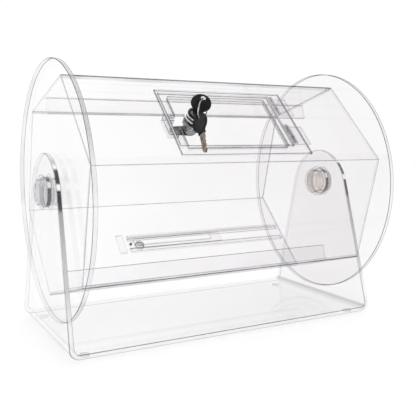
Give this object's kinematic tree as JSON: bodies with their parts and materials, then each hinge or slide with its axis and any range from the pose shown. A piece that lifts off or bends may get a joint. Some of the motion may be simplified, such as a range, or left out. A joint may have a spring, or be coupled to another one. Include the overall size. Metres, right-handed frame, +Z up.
{
  "type": "raffle drum",
  "caption": "Clear acrylic hexagonal raffle drum that turns on a bent-sheet stand, with a hinged locking door and keys and a sliding ticket slot.",
  "frame": {"origin": "on the ground under the middle of the object", "axes": "+Z up, X along the drum's axis, -Y towards the front, where the hinged door and its lock are"},
  "size_m": [0.4226, 0.3034, 0.3242],
  "materials": {
    "acrylic_stand": "clear cast acrylic sheet, heat bent",
    "acrylic_drum": "clear cast acrylic, polished edges",
    "acrylic_small": "clear acrylic, machined",
    "clear_vinyl": "soft clear vinyl",
    "nylon": "milky moulded nylon",
    "lock_chrome": "bright chrome plate",
    "lock_zinc": "zinc-plated steel",
    "bezel_black": "black moulded bezel",
    "plug_steel": "turned steel",
    "cam_black": "black-coated steel",
    "key_black": "moulded black plastic, fine texture",
    "key_nickel": "warm nickel plate",
    "ring_steel": "bright steel wire",
    "screw_dark": "dark steel"
  },
  "bodies": {
    "stand": {"stand_sheet": "acrylic_stand", "foot_1": "clear_vinyl", "foot_2": "clear_vinyl", "foot_3": "clear_vinyl", "foot_4": "clear_vinyl", "bearing_bush_left": "nylon", "bearing_bush_right": "nylon"},
    "drum": {"end_disc_left": "acrylic_drum", "end_disc_right": "acrylic_drum", "hub_tube_left": "acrylic_small", "hub_tube_right": "acrylic_small", "hub_spacer_left": "acrylic_small", "hub_spacer_right": "acrylic_small", "hub_nut_left": "acrylic_small", "hub_nut_right": "acrylic_small", "door_panel": "acrylic_drum", "front_panel": "acrylic_drum", "bottom_panel": "acrylic_drum", "slot_panel": "acrylic_drum", "rear_panel": "acrylic_drum", "top_panel": "acrylic_drum", "mixing_vane_top": "acrylic_drum", "mixing_vane_bottom": "acrylic_drum", "door_frame": "acrylic_drum", "cam_keeper": "acrylic_drum", "hinge_1_fixed_leaf": "acrylic_small", "hinge_2_fixed_leaf": "acrylic_small", "hinge_1_pin": "acrylic_small", "hinge_2_pin": "acrylic_small", "slot_rail_upper": "acrylic_drum", "slot_rail_lower": "acrylic_drum", "slot_stop": "acrylic_drum"},
    "door": {"door_plate": "acrylic_drum", "hinge_1_moving_leaf": "acrylic_small", "hinge_2_moving_leaf": "acrylic_small", "lock_body": "lock_chrome", "lock_bezel": "bezel_black", "lock_nut": "lock_zinc"},
    "plug": {"lock_plug": "plug_steel", "lock_cam": "cam_black", "cam_screw": "plug_steel"},
    "key": {"key_head": "key_black", "key_blade": "key_nickel"},
    "ring": {"key_ring": "ring_steel"},
    "spare_key": {"spare_key_head": "key_black", "spare_key_blade": "key_nickel"},
    "slider": {"slot_slider": "acrylic_drum", "slider_knob": "acrylic_small", "slider_screw": "screw_dark"}
  },
  "joints": [
    {"name": "drum_spin", "type": "hinge", "parent": "stand", "child": "drum", "pos_m": [0, 0, 0.1725], "axis": [1, 0, 0], "continuous": true},
    {"name": "door_swing", "type": "hinge", "parent": "drum", "child": "door", "pos_m": [0.0667, -0.09204, 0.25641], "axis": [0, 0.7108, 0.7034], "range_deg": [0, 115]},
    {"name": "lock_turn", "type": "hinge", "parent": "door", "child": "plug", "pos_m": [-0.055, -0.09239, 0.25676], "axis": [0, -0.7034, 0.7108], "range_deg": [-35, 0]},
    {"name": "key_pull", "type": "slide", "parent": "plug", "child": "key", "axis": [0, -0.7034, 0.7108], "range_m": [0, 0.026]},
    {"name": "ring_swing", "type": "hinge", "parent": "key", "child": "ring", "pos_m": [-0.055, -0.11356, 0.27816], "axis": [0.5, 0.6156, 0.6092], "range_deg": [-20, 0]},
    {"name": "spare_key_swing", "type": "hinge", "parent": "ring", "child": "spare_key", "pos_m": [-0.0601, -0.1124, 0.25736], "axis": [0.9644, 0.1398, -0.2245], "range_deg": [-40, 5]},
    {"name": "slot_slide", "type": "slide", "parent": "drum", "child": "slider", "axis": [1, 0, 0], "range_m": [0, 0.106]}
  ]
}
